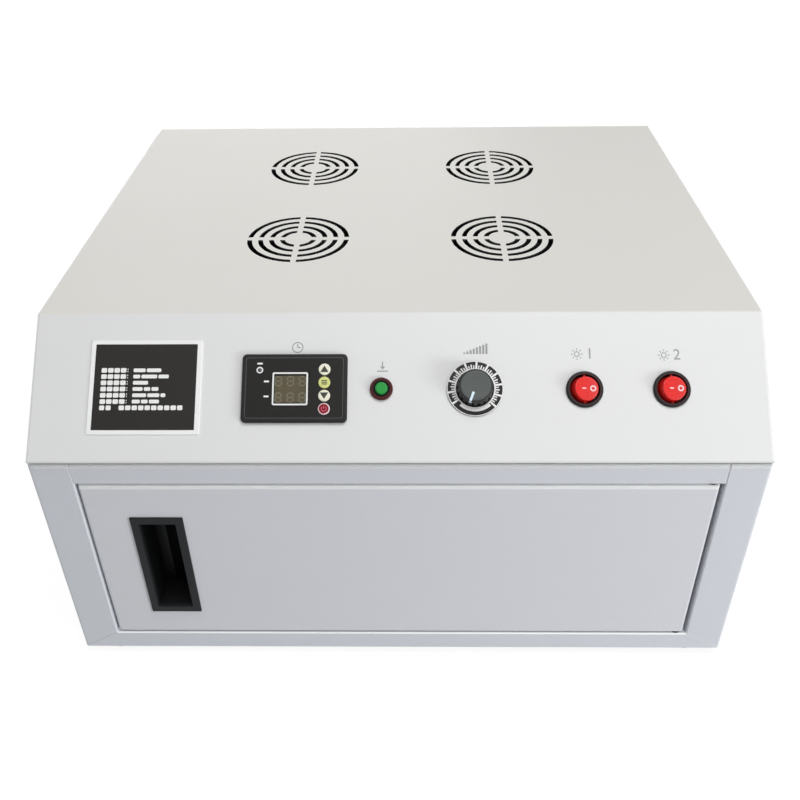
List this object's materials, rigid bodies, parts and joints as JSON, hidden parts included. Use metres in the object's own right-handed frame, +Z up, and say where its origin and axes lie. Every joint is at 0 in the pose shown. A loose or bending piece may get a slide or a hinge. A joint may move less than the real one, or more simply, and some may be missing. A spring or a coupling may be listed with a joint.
{
  "type": "uv curing box",
  "caption": "Steel bench box with a swinging front door, sloped control panel, fan grilles on top and a lamp-lit curing chamber.",
  "frame": {"origin": "on the floor under the middle of the box, at the bottom of the feet", "axes": "+X to the right as seen from the front, +Y to the back, +Z up"},
  "size_m": [0.465, 0.4226, 0.25],
  "materials": {
    "hood_paint": "fine-textured warm white powder coat",
    "case_paint": "fine-textured cool white powder coat",
    "door_paint": "fine-textured white powder coat",
    "bright_steel": "zinc-plated steel",
    "reflector": "polished reflector sheet",
    "sink_aluminium": "extruded aluminium",
    "quartz": "clear quartz",
    "board_green": "circuit board with solder mask",
    "board_white": "white metal-core board",
    "array_face": "clear-coated emitter array",
    "fan_black": "glass-filled black plastic",
    "black_plastic": "black moulded plastic",
    "pull_plastic": "satin black moulded plastic",
    "seal_rubber": "soft black rubber",
    "foot_rubber": "black rubber",
    "nylon": "natural nylon",
    "driver_case": "anodised aluminium case",
    "wire_red": "insulated lead",
    "label_black": "black panel with white border",
    "bezel_plastic": "textured black plastic",
    "window_smoke": "smoked display window",
    "key_ivory": "ivory key",
    "key_yellow": "yellow-green key",
    "key_red": "red key",
    "trigger_dark": "dark bezel",
    "trigger_green": "green cap",
    "dial_black": "printed dial",
    "knob_grey": "dark knob",
    "rocker_red": "red rocker"
  },
  "bodies": {
    "cabinet": {"hood": "hood_paint", "rear_panel": "hood_paint", "rear_panel_screws": "bright_steel", "power_inlet": "black_plastic", "lower_case": "case_paint", "front_header": "case_paint", "lamp_plate": "bright_steel", "hood_screws": "bright_steel", "feet": "foot_rubber", "foot_screws": "bright_steel", "chamber_liner": "reflector", "door_seal": "seal_rubber", "magnet_catch": "nylon", "hinge_pins": "bright_steel", "quartz_windows": "quartz", "lamp_frames": "sink_aluminium", "led_boards": "board_white", "led_arrays": "array_face", "fan_screws": "bright_steel", "led_drivers": "driver_case", "control_board": "board_green", "terminal_block": "black_plastic", "wiring": "wire_red", "label_plate": "label_black", "timer_case": "bezel_plastic", "timer_window": "window_smoke", "timer_board": "board_green", "trigger_bezel": "trigger_dark", "dial_plate": "dial_black", "potentiometer": "sink_aluminium", "panel_nuts": "bright_steel", "heat_sink_1": "sink_aluminium", "fan_frame_1": "fan_black", "heat_sink_2": "sink_aluminium", "fan_frame_2": "fan_black", "heat_sink_3": "sink_aluminium", "fan_frame_3": "fan_black", "heat_sink_4": "sink_aluminium", "fan_frame_4": "fan_black", "switch_housing_1": "black_plastic", "switch_housing_2": "black_plastic"},
    "door": {"door_panel": "door_paint", "door_inner_panel": "door_paint", "door_pull": "pull_plastic", "hinge_bushes": "nylon", "strike_plate": "bright_steel"},
    "dimmer": {"dimmer_knob": "knob_grey", "pot_shaft": "bright_steel"},
    "trigger": {"trigger_cap": "trigger_green"},
    "left_rocker": {"rocker_1": "rocker_red"},
    "right_rocker": {"rocker_2": "rocker_red"},
    "up_key": {"key_up": "key_ivory"},
    "set_key": {"key_set": "key_yellow"},
    "down_key": {"key_down": "key_ivory"},
    "power_key": {"key_power": "key_red"},
    "fan_wheel_1": {"fan_rotor_1": "fan_black"},
    "fan_wheel_2": {"fan_rotor_2": "fan_black"},
    "fan_wheel_3": {"fan_rotor_3": "fan_black"},
    "fan_wheel_4": {"fan_rotor_4": "fan_black"}
  },
  "joints": [
    {"name": "door_hinge", "type": "hinge", "parent": "cabinet", "child": "door", "pos_m": [0.1984, -0.204, 0.094], "axis": [0, 0, 1], "range_deg": [0, 110]},
    {"name": "fan_spin_1", "type": "hinge", "parent": "cabinet", "child": "fan_wheel_1", "pos_m": [-0.075, -0.031, 0.234], "axis": [0, 0, 1], "continuous": true},
    {"name": "fan_spin_2", "type": "hinge", "parent": "cabinet", "child": "fan_wheel_2", "pos_m": [0.075, -0.031, 0.234], "axis": [0, 0, 1], "continuous": true},
    {"name": "fan_spin_3", "type": "hinge", "parent": "cabinet", "child": "fan_wheel_3", "pos_m": [-0.075, 0.107, 0.234], "axis": [0, 0, 1], "continuous": true},
    {"name": "fan_spin_4", "type": "hinge", "parent": "cabinet", "child": "fan_wheel_4", "pos_m": [0.075, 0.107, 0.234], "axis": [0, 0, 1], "continuous": true},
    {"name": "dimmer_turn", "type": "hinge", "parent": "cabinet", "child": "dimmer", "pos_m": [0.0486, -0.17534, 0.21604], "axis": [0, -0.6788, 0.7343], "range_deg": [-300, 0]},
    {"name": "left_rocker_tilt", "type": "hinge", "parent": "cabinet", "child": "left_rocker", "pos_m": [0.1171, -0.17585, 0.21556], "axis": [0, 0.7343, 0.6788], "range_deg": [-24, 0]},
    {"name": "right_rocker_tilt", "type": "hinge", "parent": "cabinet", "child": "right_rocker", "pos_m": [0.1714, -0.17585, 0.21556], "axis": [0, 0.7343, 0.6788], "range_deg": [-24, 0]},
    {"name": "trigger_press", "type": "slide", "parent": "cabinet", "child": "trigger", "axis": [0, 0.6788, -0.7343], "range_m": [0, 0.002], "stiffness_N_per_m": 600, "springref_m": -0.001},
    {"name": "up_key_press", "type": "slide", "parent": "cabinet", "child": "up_key", "axis": [0, 0.6788, -0.7343], "range_m": [0, 0.0005], "stiffness_N_per_m": 1500, "springref_m": -0.0005},
    {"name": "set_key_press", "type": "slide", "parent": "cabinet", "child": "set_key", "axis": [0, 0.6788, -0.7343], "range_m": [0, 0.0005], "stiffness_N_per_m": 1500, "springref_m": -0.0005},
    {"name": "down_key_press", "type": "slide", "parent": "cabinet", "child": "down_key", "axis": [0, 0.6788, -0.7343], "range_m": [0, 0.0005], "stiffness_N_per_m": 1500, "springref_m": -0.0005},
    {"name": "power_key_press", "type": "slide", "parent": "cabinet", "child": "power_key", "axis": [0, 0.6788, -0.7343], "range_m": [0, 0.0005], "stiffness_N_per_m": 1500, "springref_m": -0.0005}
  ]
}
